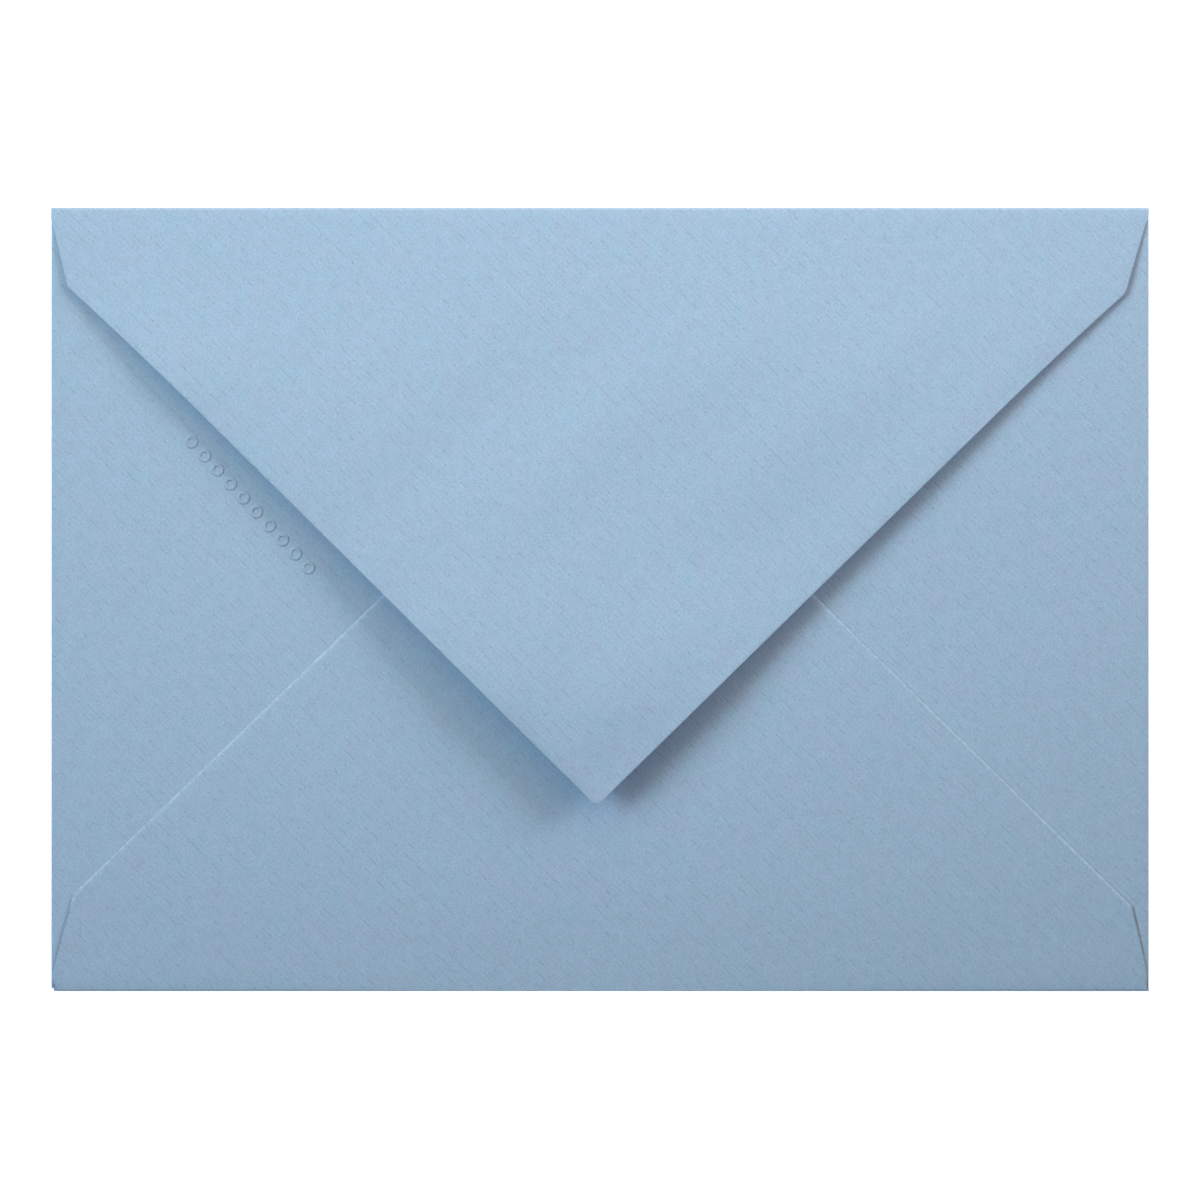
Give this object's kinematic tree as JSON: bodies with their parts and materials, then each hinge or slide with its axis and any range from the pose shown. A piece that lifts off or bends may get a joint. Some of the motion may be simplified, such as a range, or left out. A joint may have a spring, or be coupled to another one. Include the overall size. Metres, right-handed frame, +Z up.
{
  "type": "paper envelope",
  "caption": "Pale blue laid-paper envelope folded from one sheet, with gummed side and bottom flaps and a deep pointed top flap that lies loosely closed.",
  "frame": {"origin": "middle of the footprint, on the surface that the front panel rests on", "axes": "+X along the long side, +Y towards the fold of the top flap, +Z up out of the back with its flaps"},
  "size_m": [0.161, 0.1149, 0.0059],
  "materials": {
    "laid_paper": "matte pale blue laid writing paper, uncoated"
  },
  "bodies": {
    "root": {"folded_sheet": "laid_paper"}
  },
  "joints": []
}
